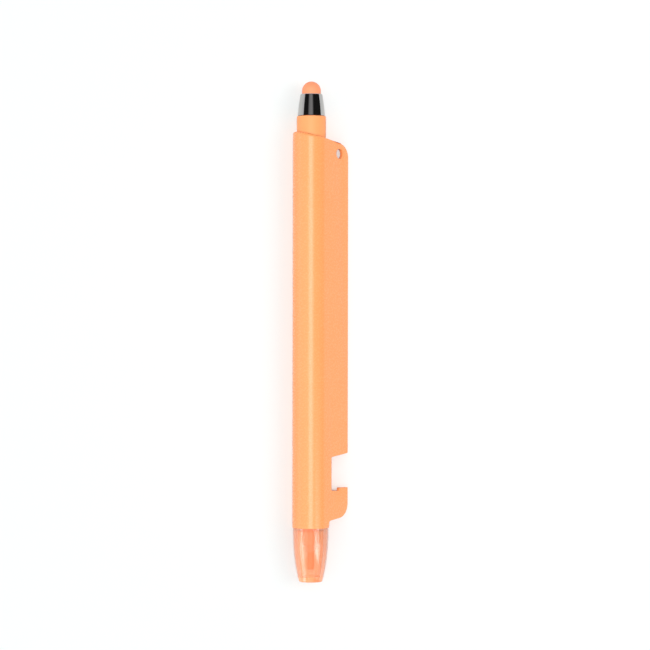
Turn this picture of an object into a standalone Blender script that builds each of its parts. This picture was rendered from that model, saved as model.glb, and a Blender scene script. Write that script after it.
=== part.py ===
"""A retractable highlighter with a touch tip and a phone-stand fin, lying on a flat surface.

Every piece is modelled in the pen's own frame and parented to one empty, which lays the pen down. In the
pen's frame Z runs along the pen, from the mouth up to the touch tip, X runs along the fin away from the
barrel, and the fin's front face looks towards -Y. Laid down, the pen's Z is the world's +Y, and the pen is
rolled until it rests on its barrel and on the fin's back edge. The world's origin is under the middle of the
pen's box, on the surface.
"""

import math

import bmesh
import bpy
from mathutils import Matrix, Vector

MM = 0.001

# Clearances
SEAT_GAP = 0.3 * MM  # between two faces that rest on each other
FIT_GAP = 0.1 * MM  # radial, between a piece and the hole that it fits or slides in
LOOSE_GAP = 0.15 * MM  # radial, round the push button in the barrel's mouth

# Lengths along the pen
NOSE_LENGTH = 15.7 * MM
BARREL_LENGTH = 113.55 * MM  # from the nose's seam to the slanted top, on the axis
BUTTON_OUT = 5.65 * MM  # from the slanted top to the ferrule, on the axis
FERRULE_LENGTH = 6.4 * MM
DOME_HEIGHT = 3.7 * MM
STROKE = 6.6 * MM  # of the push button, and of the cartridge with it

# Barrel
BARREL_RADIUS = 5.33 * MM
BARREL_WALL = 0.73 * MM
BORE_RADIUS = BARREL_RADIUS - BARREL_WALL
TOP_FALL_X = 0.188  # fall of the slanted top, for each unit towards the fin's edge
TOP_FALL_FRONT = 0.15  # and for each unit towards the front
LIP_DEPTH = 2.6 * MM  # from the slanted top on the axis down to the lip's underside

# Fin
FIN_REACH = 10.4 * MM  # from the pen's axis to the fin's free edge
FIN_THICKNESS = 1.16 * MM
FIN_START = 0.45 * MM  # where the fin's front face comes out of the round barrel
FIN_TOP_DROP = 0.1 * MM  # of the fin's top below the slanted top of the barrel
FIN_CORNER = 4.1 * MM
FIN_SLANT = 0.13  # rise towards the free edge, of the foot and of the slot's upper wall
FOOT_HEIGHT = 2.1 * MM  # the foot above the seam, where it leaves the barrel
SLOT_START = 3.1 * MM  # the slot's inner edge, from the pen's axis
SLOT_FLOOR_HEIGHT = 10.65 * MM  # above the seam
SLOT_OPENING = 9.75 * MM
SLOT_CORNER = 0.45 * MM
LIP_START = 6.7 * MM  # the hook's lip, from the pen's axis
LIP_HEIGHT = 0.75 * MM
EDGE_CORNER = 0.3 * MM
ROOT_X = 1.95 * MM  # where the foot curves down into the barrel
ROOT_DROP = 1.2 * MM
ROOT_ROUND = 0.7 * MM
HOLE_RADIUS = 1.45 * MM
HOLE_X = 6.5 * MM
HOLE_BELOW_TOP = 5.05 * MM

# Nose cone
NOSE_RADIUS = BARREL_RADIUS - 0.16 * MM
NOSE_SHOULDER_RADIUS = NOSE_RADIUS - 0.11 * MM
NOSE_SHOULDER_DROP = 3.8 * MM  # from the seam to where the taper starts to curve in
MOUTH_RADIUS = 3.5 * MM
MOUTH_LIP = 1.5 * MM
NOSE_WALL = 1.0 * MM
NOSE_CEILING = 0.9 * MM  # solid collar below the seam
SPIGOT_LENGTH = 8.0 * MM

# Nib and its holder
NIB_RADIUS = 0.95 * MM
NIB_RECESS = 3.5 * MM  # the nib's tip above the mouth, retracted
NIB_TAIL = 5.0 * MM  # length in the reservoir
NIB_ROUND = 0.7 * MM  # height of its rounded tip
SNOUT_RADIUS = NIB_RADIUS + 0.45 * MM
MOUTH_HOLE_RADIUS = SNOUT_RADIUS + LOOSE_GAP
SNOUT_TO_TIP = 5.1 * MM
SNOUT_LENGTH = 2.0 * MM
HOLDER_RADIUS = 2.4 * MM
SPIGOT_BORE_RADIUS = HOLDER_RADIUS + 0.4 * MM
HOLDER_FLANGE = 1.4 * MM
HOLDER_PLUG = 4.0 * MM
VENT_WIDTH = 0.55 * MM
VENT_LENGTH = 0.8 * MM
VENT_DEPTH = 0.5 * MM  # of its cutter, beyond the holder
VENT_TURN = 23.0  # degrees from the front towards the fin's edge

# Spring
SPRING_LENGTH = 14.0 * MM
WIRE_RADIUS = 0.225 * MM
SPRING_TURNS = 8
SPRING_END_TURNS = 1.25  # close wound, at each end

# Ink cartridge
TUBE_RADIUS = BORE_RADIUS - 1.0 * MM
SPRING_RADIUS = TUBE_RADIUS - 0.3 * MM
TUBE_WALL = 0.5 * MM
FILM_THICKNESS = 0.15 * MM
PLUG_LENGTH = 4.0 * MM
PLUG_COLLAR = 1.2 * MM
STUB_RADIUS = 1.5 * MM
STUB_LENGTH = 2.5 * MM

# Click mechanism
CAM_COUNT = 4
SLEEVE_WALL = 0.9 * MM
SLEEVE_RADIUS = BORE_RADIUS - FIT_GAP
SLEEVE_BORE = SLEEVE_RADIUS - SLEEVE_WALL
CAM_FIN_RADIUS = SLEEVE_BORE - LOOSE_GAP
CAM_FIN_DEPTH = 0.75 * MM  # of the fins, beyond the shaft
SHAFT_RADIUS = CAM_FIN_RADIUS - CAM_FIN_DEPTH  # plunger and rotor
CAM_ROOT_RADIUS = SHAFT_RADIUS - 0.8 * MM  # the fins' roots, inside the shaft
CAM_REST_GAP = 4.0  # degrees, from a fin to the rib beside it
CAM_FIN_WIDTH = 14.0  # degrees
PLUNGER_FIN_LENGTH = 4.0 * MM
PLUNGER_FIN_DROP = 1.5 * MM  # below the sleeve's top
PLUNGER_REACH = 6.5 * MM  # the crown's tips below the sleeve's top
ROTOR_LENGTH = 9.0 * MM
ROTOR_FIN_LENGTH = 3.0 * MM
ROTOR_FIN_DROP = 0.8 * MM  # below the rotor's crown
CROWN_TEETH = 8
CROWN_HEIGHT = 0.6 * MM
RIB_WIDTH = 24.0  # degrees
RIB_CLEARANCE = 0.2 * MM  # radial, from the shaft to the ribs
LATCH_TRAVEL = 6.0 * MM  # at which the rotor's fins clear the ribs
RIB_TOOTH = 0.5 * MM  # fall of a rib's slanted end
SLEEVE_BELOW_RIBS = 2.0 * MM

# Push button
BUTTON_FLANGE = 1.2 * MM
BUTTON_FLANGE_DEPTH = 0.3 * MM
BUTTON_RADIUS = BORE_RADIUS - FIT_GAP - BUTTON_FLANGE_DEPTH
BUTTON_SPIGOT = 3.0 * MM
BUTTON_WALL = 0.9 * MM
HEAD_LENGTH = 4.0 * MM  # of the plunger in the push button
PLUNGER_COLLAR = 1.0 * MM

# Ferrule, touch tip and its core
DOME_RADIUS = 2.71 * MM
FERRULE_BASE_RADIUS = BUTTON_RADIUS - 0.25 * MM
FERRULE_TOP_RADIUS = DOME_RADIUS + 0.46 * MM
FERRULE_BULGE = 0.09 * MM
FERRULE_WALL = 0.4 * MM
DOME_WALL = 0.8 * MM
DOME_SKIRT = 1.5 * MM  # of the touch tip, inside the ferrule
DOME_FLANGE = 0.7 * MM
CORE_STEM_RADIUS = 1.4 * MM
CORE_STEM_LENGTH = 3.0 * MM
CORE_POST_RADIUS = DOME_RADIUS - DOME_WALL - 0.41 * MM
CORE_POST_HEIGHT = 3.2 * MM
CORE_DISC = 0.6 * MM

# Facets round a turn
FINE = 64
MEDIUM = 48
COARSE = 32
COIL_POINTS = 14  # along one turn of the spring

# Steps along a rounding in a turned piece's profile
SMALL_ARC = 3
ROUND_ARC = 5
WIDE_ARC = 7
DOME_ARC = 9

# Stations along the pen, with 0 at the middle of its length
TOTAL_LENGTH = NOSE_LENGTH + BARREL_LENGTH + BUTTON_OUT + FERRULE_LENGTH + DOME_HEIGHT
MOUTH_Z = -TOTAL_LENGTH / 2
SEAM_Z = MOUTH_Z + NOSE_LENGTH
TOP_Z = SEAM_Z + BARREL_LENGTH
FERRULE_Z = TOP_Z + BUTTON_OUT
DOME_Z = FERRULE_Z + FERRULE_LENGTH
TIP_Z = DOME_Z + DOME_HEIGHT

LIP_Z = TOP_Z - LIP_DEPTH
BUTTON_Z = LIP_Z - SEAT_GAP - BUTTON_FLANGE  # the push button's lower end
COLLAR_Z = BUTTON_Z - SEAT_GAP - PLUNGER_COLLAR
SLEEVE_TOP_Z = COLLAR_Z - STROKE - SEAT_GAP
CROWN_Z = SLEEVE_TOP_Z - PLUNGER_REACH
ROTOR_TOP_Z = CROWN_Z - SEAT_GAP
ROTOR_Z = ROTOR_TOP_Z - ROTOR_LENGTH
ROTOR_FIN_TOP_Z = ROTOR_TOP_Z - ROTOR_FIN_DROP
RIB_Z = ROTOR_FIN_TOP_Z - LATCH_TRAVEL
SLEEVE_Z = RIB_Z - SLEEVE_BELOW_RIBS
PLUG_TOP_Z = ROTOR_Z - SEAT_GAP
TUBE_TOP_Z = PLUG_TOP_Z - PLUG_COLLAR - SEAT_GAP

SPIGOT_Z = SEAM_Z + SPIGOT_LENGTH
SPRING_Z = SPIGOT_Z + SEAT_GAP
FLANGE_Z = SPRING_Z + SPRING_LENGTH + SEAT_GAP
TUBE_Z = FLANGE_Z + HOLDER_FLANGE + SEAT_GAP
RESERVOIR_Z = TUBE_Z + HOLDER_PLUG + SEAT_GAP
RESERVOIR_TOP_Z = TUBE_TOP_Z - PLUG_LENGTH - SEAT_GAP
NIB_Z = MOUTH_Z + NIB_RECESS
SNOUT_Z = NIB_Z + SNOUT_TO_TIP
SHOULDER_Z = SNOUT_Z + SNOUT_LENGTH

# How the pen lies: its barrel and the fin's back edge both touch the surface
FIN_BACK = BARREL_RADIUS - FIN_THICKNESS
ROLL = math.asin(BARREL_RADIUS / math.hypot(FIN_REACH, FIN_BACK)) + math.atan2(FIN_BACK, FIN_REACH)
EDGE_X = FIN_REACH * math.cos(ROLL) + BARREL_RADIUS * math.sin(ROLL)

TUBE_BORE = TUBE_RADIUS - TUBE_WALL


def clear_scene():
    for old in list(bpy.data.objects):
        bpy.data.objects.remove(old)


def new_collection(name):
    collection = bpy.data.collections.new(name)
    bpy.context.scene.collection.children.link(collection)
    return collection


def linear(hex_colour):
    """The linear colour of an sRGB hex value."""
    shares = [int(hex_colour[i : i + 2], 16) / 255 for i in (1, 3, 5)]
    return [s / 12.92 if s <= 0.04045 else ((s + 0.055) / 1.055) ** 2.4 for s in shares] + [1.0]


def material(name, hex_colour, roughness, metallic=0.0, alpha=1.0):
    made = bpy.data.materials.new(name)
    made.use_nodes = True
    shader = made.node_tree.nodes["Principled BSDF"]
    shader.inputs["Base Color"].default_value = linear(hex_colour)
    shader.inputs["Roughness"].default_value = roughness
    shader.inputs["Metallic"].default_value = metallic
    shader.inputs["Alpha"].default_value = alpha
    return made


def place(obj, collection, finish=None):
    """Puts an object in its collection, in the pen's frame."""
    collection.objects.link(obj)
    obj.parent = pen
    if finish:
        obj.data.materials.append(finish)
    if collection == cutters:
        obj.hide_render = True
        obj.display_type = "WIRE"
    return obj


def turned(name, profile, collection, finish=None, facets=MEDIUM, ring=False):
    """A shape turned about the pen's axis from (radius, z) points, which run down its outer side."""
    mesh = bpy.data.meshes.new(name)
    edges = [(i, i + 1) for i in range(len(profile) - 1)]
    if ring:
        edges.append((len(profile) - 1, 0))
    mesh.from_pydata([(r, 0, z) for r, z in profile], edges, [])
    obj = place(bpy.data.objects.new(name, mesh), collection, finish)
    screw = obj.modifiers.new("Turn", "SCREW")
    screw.steps = screw.render_steps = facets
    screw.use_merge_vertices = True
    screw.merge_threshold = 1e-6
    screw.use_smooth_shade = True
    return obj


def solid_rod(name, radius, low, high, collection, finish=None, facets=MEDIUM):
    profile = [(0, high), (radius, high), (radius, low), (0, low)]
    return turned(name, profile, collection, finish, facets)


def arc(centre, radius, start, end, steps):
    """Points on an arc, from one angle in degrees to another."""
    angles = [math.radians(start + (end - start) * i / steps) for i in range(steps + 1)]
    return [(centre[0] + radius * math.cos(a), centre[1] + radius * math.sin(a)) for a in angles]


def rounded(corners, steps=8):
    """An outline through (x, y, radius) corners, each rounded by its radius."""
    outline = []
    for i, (x, y, radius) in enumerate(corners):
        here = Vector((x, y))
        before = (Vector(corners[i - 1][:2]) - here).normalized()
        after = (Vector(corners[(i + 1) % len(corners)][:2]) - here).normalized()
        if not radius:
            outline.append(here)
            continue
        half = before.angle(after) / 2
        start = here + before * radius / math.tan(half)
        end = here + after * radius / math.tan(half)
        centre = here + (before + after).normalized() * radius / math.sin(half)
        sweep = (start - centre).angle_signed(end - centre)
        for step in range(steps + 1):
            turn = Matrix.Rotation(-sweep * step / steps, 2)
            outline.append(centre + turn @ (start - centre))
    return outline


def cut(obj, cutter, operation="DIFFERENCE"):
    boolean = obj.modifiers.new(cutter.name, "BOOLEAN")
    boolean.operation = operation
    boolean.object = cutter
    boolean.solver = "EXACT"


def flat_plate(name, outline, thickness, collection):
    """A plate from an outline in the fin's plane, centred on its own thickness, as a mesh."""
    curve = bpy.data.curves.new(name, "CURVE")
    curve.dimensions = "2D"
    curve.fill_mode = "BOTH"
    curve.extrude = thickness / 2
    spline = curve.splines.new("POLY")
    spline.points.add(len(outline) - 1)
    for point, (x, y) in zip(spline.points, outline):
        point.co = (x, y, 0, 1)
    spline.use_cyclic_u = True
    drawn = bpy.data.objects.new(name + "_outline", curve)
    bpy.context.scene.collection.objects.link(drawn)
    graph = bpy.context.evaluated_depsgraph_get()
    mesh = bpy.data.meshes.new_from_object(drawn.evaluated_get(graph))
    work = bmesh.new()
    work.from_mesh(mesh)
    bmesh.ops.remove_doubles(work, verts=work.verts, dist=1e-6)
    work.to_mesh(mesh)
    work.free()
    bpy.data.objects.remove(drawn)
    plate = place(bpy.data.objects.new(name, mesh), collection)
    plate.rotation_euler = (math.radians(90), 0, 0)
    return plate


def half_space(name, point, outward):
    """A cutter for everything beyond the plane through a point, on the side that outward gives."""
    side = 6 * BARREL_RADIUS
    work = bmesh.new()
    bmesh.ops.create_cube(work, size=side)
    mesh = bpy.data.meshes.new(name)
    work.to_mesh(mesh)
    work.free()
    block = place(bpy.data.objects.new(name, mesh), cutters)
    block.rotation_mode = "QUATERNION"
    block.rotation_quaternion = outward.to_track_quat("Z", "Y")
    block.location = Vector(point) + outward.normalized() * side / 2
    return block


def sector(name, inner, outer, width, low, high, fall=0.0, turn=0.0):
    """A block between two radii, width degrees wide. fall slants its lower end, turn moves it round."""
    half = math.radians(width / 2)
    steps = 4
    angles = [-half + 2 * half * i / steps for i in range(steps + 1)]
    section = [(outer * math.cos(a), outer * math.sin(a), high) for a in angles]
    section += [(inner * math.cos(a), inner * math.sin(a), high) for a in reversed(angles)]
    work = bmesh.new()
    face = work.faces.new([work.verts.new(p) for p in section])
    made = bmesh.ops.extrude_face_region(work, geom=[face])["geom"]
    for vert in [g for g in made if isinstance(g, bmesh.types.BMVert)]:
        across = math.atan2(vert.co.y, vert.co.x) / (2 * half)
        vert.co.z = low + fall * (across + 0.5)
    bmesh.ops.recalc_face_normals(work, faces=work.faces)
    mesh = bpy.data.meshes.new(name)
    work.to_mesh(mesh)
    work.free()
    block = place(bpy.data.objects.new(name, mesh), cutters)
    block.rotation_euler = (0, 0, math.radians(turn))
    return block


def crowned_rod(name, radius, low, high, finish, up):
    """A round rod whose upper or lower end is a crown of V teeth."""
    work = bmesh.new()
    middle = Matrix.Translation((0, 0, (low + high) / 2))
    bmesh.ops.create_cone(
        work,
        cap_ends=True,
        segments=MEDIUM,
        radius1=radius,
        radius2=radius,
        depth=high - low,
        matrix=middle,
    )
    end = high if up else low
    inward = -1 if up else 1
    cap = [f for f in work.faces if all(abs(v.co.z - end) < 1e-7 for v in f.verts)]
    centre = bmesh.ops.poke(work, faces=cap)["verts"][0]
    per_tooth = MEDIUM // CROWN_TEETH
    for vert in [v for v in work.verts if abs(v.co.z - end) < 1e-7 and v != centre]:
        step = round(math.atan2(vert.co.y, vert.co.x) / math.tau * MEDIUM) % per_tooth
        share = abs(2 * step / per_tooth - 1)
        vert.co.z += inward * CROWN_HEIGHT * share
    centre.co.z += inward * CROWN_HEIGHT
    mesh = bpy.data.meshes.new(name)
    work.to_mesh(mesh)
    work.free()
    mesh.shade_smooth()
    mesh.set_sharp_from_angle(angle=math.radians(30))
    return place(bpy.data.objects.new(name, mesh), parts, finish)


def fin_outline():
    """The fin's edge, anticlockwise from the foot, with its slot and hook."""
    foot = SEAM_Z + FOOT_HEIGHT
    root = foot + FIN_SLANT * (ROOT_X - SLOT_START)
    floor = SEAM_Z + SLOT_FLOOR_HEIGHT
    ceiling = floor + SLOT_OPENING
    rise = FIN_SLANT * (FIN_REACH - SLOT_START)
    front_top = TOP_Z - TOP_FALL_FRONT * BARREL_RADIUS - FIN_TOP_DROP
    corners = [
        (FIN_START, root - ROOT_DROP, 0),
        (ROOT_X, root - ROOT_DROP, 0),
        (ROOT_X, root, ROOT_ROUND),
        (FIN_REACH, foot + rise, FIN_CORNER),
        (FIN_REACH, floor + LIP_HEIGHT, EDGE_CORNER),
        (LIP_START, floor + LIP_HEIGHT, EDGE_CORNER),
        (LIP_START, floor, EDGE_CORNER),
        (SLOT_START, floor, SLOT_CORNER),
        (SLOT_START, ceiling, SLOT_CORNER),
        (FIN_REACH, ceiling + rise, EDGE_CORNER),
        (FIN_REACH, front_top - TOP_FALL_X * FIN_REACH, FIN_CORNER),
        (FIN_START, front_top - TOP_FALL_X * FIN_START, 0),
    ]
    return rounded(corners)


def barrel():
    rise = math.hypot(TOP_FALL_X, TOP_FALL_FRONT) * BARREL_RADIUS
    highest = TOP_Z + rise + SEAT_GAP
    body = solid_rod("barrel", BARREL_RADIUS, SEAM_Z, highest, parts, orange, FINE)
    slant = Vector((TOP_FALL_X, -TOP_FALL_FRONT, 1))
    cut(body, half_space("above_the_top", (0, 0, TOP_Z), slant))

    middle = -(BARREL_RADIUS - FIN_THICKNESS / 2)
    fin = flat_plate("fin", fin_outline(), FIN_THICKNESS, cutters)
    fin.location.y = middle
    cut(body, fin, "UNION")

    opening = BUTTON_RADIUS + LOOSE_GAP
    bore = [
        (0, highest + SEAT_GAP),
        (opening, highest + SEAT_GAP),
        (opening, LIP_Z),
        (BORE_RADIUS, LIP_Z),
        (BORE_RADIUS, MOUTH_Z),
        (0, MOUTH_Z),
    ]
    cut(body, turned("bore", bore, cutters, facets=FINE))

    hole = solid_rod("lanyard_hole", HOLE_RADIUS, -FIN_THICKNESS, FIN_THICKNESS, cutters, facets=COARSE)
    hole.rotation_euler = (math.radians(90), 0, 0)
    hole.location = (HOLE_X, middle, TOP_Z - HOLE_BELOW_TOP)
    cut(body, hole)


def nose_outer():
    """The nose's outside, from the seam to the mouth: a slight taper, then an arc that carries it on."""
    seam = Vector((NOSE_RADIUS, SEAM_Z - SEAT_GAP))
    shoulder = Vector((NOSE_SHOULDER_RADIUS, SEAM_Z - NOSE_SHOULDER_DROP))
    mouth = Vector((MOUTH_RADIUS, MOUTH_Z + EDGE_CORNER))
    taper = math.atan2(seam.x - shoulder.x, seam.y - shoulder.y)
    inward = Vector((-math.cos(taper), math.sin(taper)))
    chord = mouth - shoulder
    radius = chord.length_squared / (2 * chord.dot(inward))
    end = 2 * math.atan2(-chord.x, -chord.y) - taper
    centre = shoulder + inward * radius
    return [tuple(seam)] + arc(centre, radius, -math.degrees(taper), -math.degrees(end), WIDE_ARC)


def nose_cone():
    outer = nose_outer()
    low = MOUTH_Z + EDGE_CORNER
    outer += arc((MOUTH_RADIUS - EDGE_CORNER, low), EDGE_CORNER, 0, -90, SMALL_ARC)[1:]
    inner_top = SEAM_Z - NOSE_CEILING
    lip_top = MOUTH_Z + MOUTH_LIP
    inner = [(r - NOSE_WALL, z) for r, z in reversed(outer) if lip_top < z < inner_top - SEAT_GAP]
    spigot_radius = BORE_RADIUS - FIT_GAP
    profile = [(spigot_radius, SPIGOT_Z), (spigot_radius, SEAM_Z - SEAT_GAP)]
    profile += outer
    profile += [(MOUTH_HOLE_RADIUS, MOUTH_Z), (MOUTH_HOLE_RADIUS, lip_top)]
    profile += [(inner[0][0], lip_top)] + inner
    profile += [(inner[-1][0], inner_top), (SPIGOT_BORE_RADIUS, inner_top), (SPIGOT_BORE_RADIUS, SPIGOT_Z)]
    turned("nose_cone", profile, parts, clear_orange, FINE, ring=True)


def nib():
    top = RESERVOIR_Z + NIB_TAIL
    steps = 4
    tip = []
    for i in range(steps + 1):
        angle = math.radians(90 * i / steps)
        tip.append((NIB_RADIUS * math.cos(angle), NIB_Z + NIB_ROUND * (1 - math.sin(angle))))
    tip[-1] = (0, NIB_Z)
    turned("nib", [(0, top), (NIB_RADIUS, top)] + tip, parts, felt, COARSE)


def nib_holder():
    plug_top = TUBE_Z + HOLDER_PLUG
    hole = NIB_RADIUS + FIT_GAP
    plug = TUBE_BORE - FIT_GAP
    profile = [
        (plug, plug_top),
        (plug, TUBE_Z - SEAT_GAP),
        (TUBE_RADIUS, TUBE_Z - SEAT_GAP),
        (TUBE_RADIUS, FLANGE_Z),
        (HOLDER_RADIUS, FLANGE_Z),
        (HOLDER_RADIUS, SHOULDER_Z + EDGE_CORNER),
        (HOLDER_RADIUS - EDGE_CORNER, SHOULDER_Z),
        (SNOUT_RADIUS, SHOULDER_Z),
        (SNOUT_RADIUS, SNOUT_Z),
        (hole, SNOUT_Z),
        (hole, plug_top),
    ]
    body = turned("nib_holder", profile, parts, holder_plastic, ring=True)
    turn = VENT_TURN - 90
    width = math.degrees(VENT_WIDTH / HOLDER_RADIUS)
    inner = SNOUT_RADIUS + FIT_GAP
    low = SHOULDER_Z - SEAT_GAP
    vent = sector("vent", inner, HOLDER_RADIUS + VENT_DEPTH, width, low, SHOULDER_Z + VENT_LENGTH, turn=turn)
    cut(body, vent)


def return_spring():
    """A coil with close-wound ends, its wire's centre inside the spring's length."""
    low = SPRING_Z + WIRE_RADIUS
    high = SPRING_Z + SPRING_LENGTH - WIRE_RADIUS
    close_pitch = 2 * WIRE_RADIUS + FIT_GAP
    close = SPRING_END_TURNS * close_pitch
    total_turns = SPRING_TURNS + 2 * SPRING_END_TURNS
    count = round(total_turns * COIL_POINTS)
    curve = bpy.data.curves.new("return_spring", "CURVE")
    curve.dimensions = "3D"
    curve.bevel_depth = WIRE_RADIUS
    curve.bevel_resolution = 2
    curve.use_fill_caps = True
    spline = curve.splines.new("POLY")
    spline.points.add(count)
    for i, point in enumerate(spline.points):
        turn = total_turns * i / count
        if turn < SPRING_END_TURNS:
            z = low + turn * close_pitch
        elif turn > total_turns - SPRING_END_TURNS:
            z = high - (total_turns - turn) * close_pitch
        else:
            share = (turn - SPRING_END_TURNS) / SPRING_TURNS
            z = low + close + share * (high - low - 2 * close)
        angle = math.tau * turn
        point.co = (SPRING_RADIUS * math.cos(angle), SPRING_RADIUS * math.sin(angle), z, 1)
    place(bpy.data.objects.new("return_spring", curve), parts, spring_steel)


def ink_cartridge():
    tube = [(TUBE_RADIUS, TUBE_TOP_Z), (TUBE_RADIUS, TUBE_Z), (TUBE_BORE, TUBE_Z), (TUBE_BORE, TUBE_TOP_Z)]
    turned("ink_tube", tube, parts, tube_plastic, ring=True)

    film = TUBE_BORE - FIT_GAP
    film_bore = film - FILM_THICKNESS
    wrap = [
        (film, RESERVOIR_TOP_Z),
        (film, RESERVOIR_Z),
        (film_bore, RESERVOIR_Z),
        (film_bore, RESERVOIR_TOP_Z),
    ]
    turned("reservoir_film", wrap, parts, clear_film, ring=True)

    fibre = film_bore - FIT_GAP
    hole = NIB_RADIUS + FIT_GAP
    hole_top = RESERVOIR_Z + NIB_TAIL + SEAT_GAP
    rod = [
        (0, RESERVOIR_TOP_Z),
        (fibre, RESERVOIR_TOP_Z),
        (fibre, RESERVOIR_Z),
        (hole, RESERVOIR_Z),
        (hole, hole_top),
        (0, hole_top),
    ]
    turned("ink_reservoir", rod, parts, inked_fibre)

    plug = TUBE_BORE - FIT_GAP
    collar = PLUG_TOP_Z - PLUG_COLLAR
    stopper = [
        (0, PLUG_TOP_Z + STUB_LENGTH),
        (STUB_RADIUS, PLUG_TOP_Z + STUB_LENGTH),
        (STUB_RADIUS, PLUG_TOP_Z),
        (TUBE_RADIUS, PLUG_TOP_Z),
        (TUBE_RADIUS, collar),
        (plug, collar),
        (plug, TUBE_TOP_Z - PLUG_LENGTH),
        (0, TUBE_TOP_Z - PLUG_LENGTH),
    ]
    turned("tube_plug", stopper, parts, tube_plastic)


def add_cams(body, name, inner, outer, width, low, high, fall=0.0, turn=0.0):
    """Joins a ring of fins or ribs to a body."""
    for i in range(CAM_COUNT):
        block = sector(f"{name}_{i}", inner, outer, width, low, high, fall, turn + 360 * i / CAM_COUNT)
        cut(body, block, "UNION")


def click_mechanism():
    wall = [
        (SLEEVE_RADIUS, SLEEVE_TOP_Z),
        (SLEEVE_RADIUS, SLEEVE_Z),
        (SLEEVE_BORE, SLEEVE_Z),
        (SLEEVE_BORE, SLEEVE_TOP_Z),
    ]
    sleeve = turned("cam_sleeve", wall, parts, white_plastic, ring=True)
    rib_inner = SHAFT_RADIUS + RIB_CLEARANCE
    rib_outer = SLEEVE_BORE + SLEEVE_WALL / 2
    rib_top = SLEEVE_TOP_Z - SEAT_GAP
    add_cams(sleeve, "rib", rib_inner, rib_outer, RIB_WIDTH, RIB_Z, rib_top, fall=RIB_TOOTH)

    # A fin starts beside one rib and has room to turn towards the next.
    beside = (RIB_WIDTH + CAM_FIN_WIDTH) / 2 + CAM_REST_GAP
    rod_top = COLLAR_Z + PLUNGER_COLLAR / 2
    rod = crowned_rod("plunger", SHAFT_RADIUS, CROWN_Z, rod_top, white_plastic, up=False)
    head = BUTTON_RADIUS - BUTTON_WALL - FIT_GAP
    collar_top = COLLAR_Z + PLUNGER_COLLAR
    cap = [
        (0, collar_top + SEAT_GAP + HEAD_LENGTH),
        (head, collar_top + SEAT_GAP + HEAD_LENGTH),
        (head, collar_top),
        (BUTTON_RADIUS, collar_top),
        (BUTTON_RADIUS, COLLAR_Z),
        (0, COLLAR_Z),
    ]
    cut(rod, turned("plunger_head", cap, cutters), "UNION")
    fin_top = SLEEVE_TOP_Z - PLUNGER_FIN_DROP
    fin_low = fin_top - PLUNGER_FIN_LENGTH
    half = 180 / CAM_COUNT  # the turn from a rib to midway between two
    add_cams(rod, "plunger_fin", CAM_ROOT_RADIUS, CAM_FIN_RADIUS, CAM_FIN_WIDTH, fin_low, fin_top, turn=half)

    body = crowned_rod("rotor", SHAFT_RADIUS, ROTOR_Z, ROTOR_TOP_Z, rotor_plastic, up=True)
    fin_low = ROTOR_FIN_TOP_Z - ROTOR_FIN_LENGTH
    fin_top = ROTOR_FIN_TOP_Z
    add_cams(body, "rotor_fin", CAM_ROOT_RADIUS, CAM_FIN_RADIUS, CAM_FIN_WIDTH, fin_low, fin_top, turn=beside)
    seat = STUB_RADIUS + FIT_GAP
    depth = PLUG_TOP_Z + STUB_LENGTH + SEAT_GAP
    cut(body, solid_rod("rotor_seat", seat, ROTOR_Z - SEAT_GAP, depth, cutters, facets=COARSE))


def ferrule_radius(z):
    """The ferrule's outer radius: a cone with a slight bulge."""
    share = (DOME_Z - z) / FERRULE_LENGTH
    straight = FERRULE_TOP_RADIUS + share * (FERRULE_BASE_RADIUS - FERRULE_TOP_RADIUS)
    return straight + FERRULE_BULGE * 4 * share * (1 - share)


def ferrule_fit(z):
    """The radius of what fits inside the ferrule up to this height."""
    return ferrule_radius(z) - FERRULE_WALL - FIT_GAP


def push_button():
    top = FERRULE_Z - SEAT_GAP
    spigot_top = top + BUTTON_SPIGOT
    spigot = ferrule_fit(spigot_top)
    stem = CORE_STEM_RADIUS + FIT_GAP
    bore = BUTTON_RADIUS - BUTTON_WALL
    head_top = BUTTON_Z + HEAD_LENGTH + SEAT_GAP
    flange = BUTTON_RADIUS + BUTTON_FLANGE_DEPTH
    profile = [
        (spigot, spigot_top),
        (spigot, top),
        (BUTTON_RADIUS, top),
        (BUTTON_RADIUS, BUTTON_Z + BUTTON_FLANGE),
        (flange, BUTTON_Z + BUTTON_FLANGE),
        (flange, BUTTON_Z),
        (bore, BUTTON_Z),
        (bore, head_top),
        (stem, head_top),
        (stem, spigot_top),
    ]
    turned("push_button", profile, parts, orange, FINE, ring=True)


def ferrule():
    """A cone shell with a lip at its top, which holds the touch tip."""
    steps = 5
    levels = [DOME_Z - FERRULE_LENGTH * i / steps for i in range(steps + 1)]
    outer = [(ferrule_radius(z), z) for z in levels]
    lip = DOME_RADIUS + FIT_GAP
    lip_low = DOME_Z - DOME_SKIRT
    inner = [(r - FERRULE_WALL, z) for r, z in reversed(outer) if z < lip_low]
    profile = outer + inner
    profile += [(ferrule_radius(lip_low) - FERRULE_WALL, lip_low), (lip, lip_low), (lip, DOME_Z)]
    turned("ferrule", profile, parts, chrome, FINE, ring=True)


def touch_tip():
    """A hollow silicone dome, with a skirt inside the ferrule and a flange under the ferrule's lip."""
    centre_z = TIP_Z - DOME_RADIUS
    flange_top = DOME_Z - DOME_SKIRT - FIT_GAP
    flange = ferrule_fit(flange_top)
    base = flange_top - DOME_FLANGE
    hollow = DOME_RADIUS - DOME_WALL
    hollow_top = TIP_Z - DOME_WALL - hollow
    outside = arc((0, centre_z), DOME_RADIUS, 90, 0, DOME_ARC)
    inside = arc((0, hollow_top), hollow, 0, 90, ROUND_ARC)
    outside[0] = (0, TIP_Z)
    inside[-1] = (0, hollow_top + hollow)
    profile = outside
    profile += [(DOME_RADIUS, flange_top), (flange, flange_top), (flange, base), (hollow, base)]
    turned("touch_tip", profile + inside, parts, coral_silicone)


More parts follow.
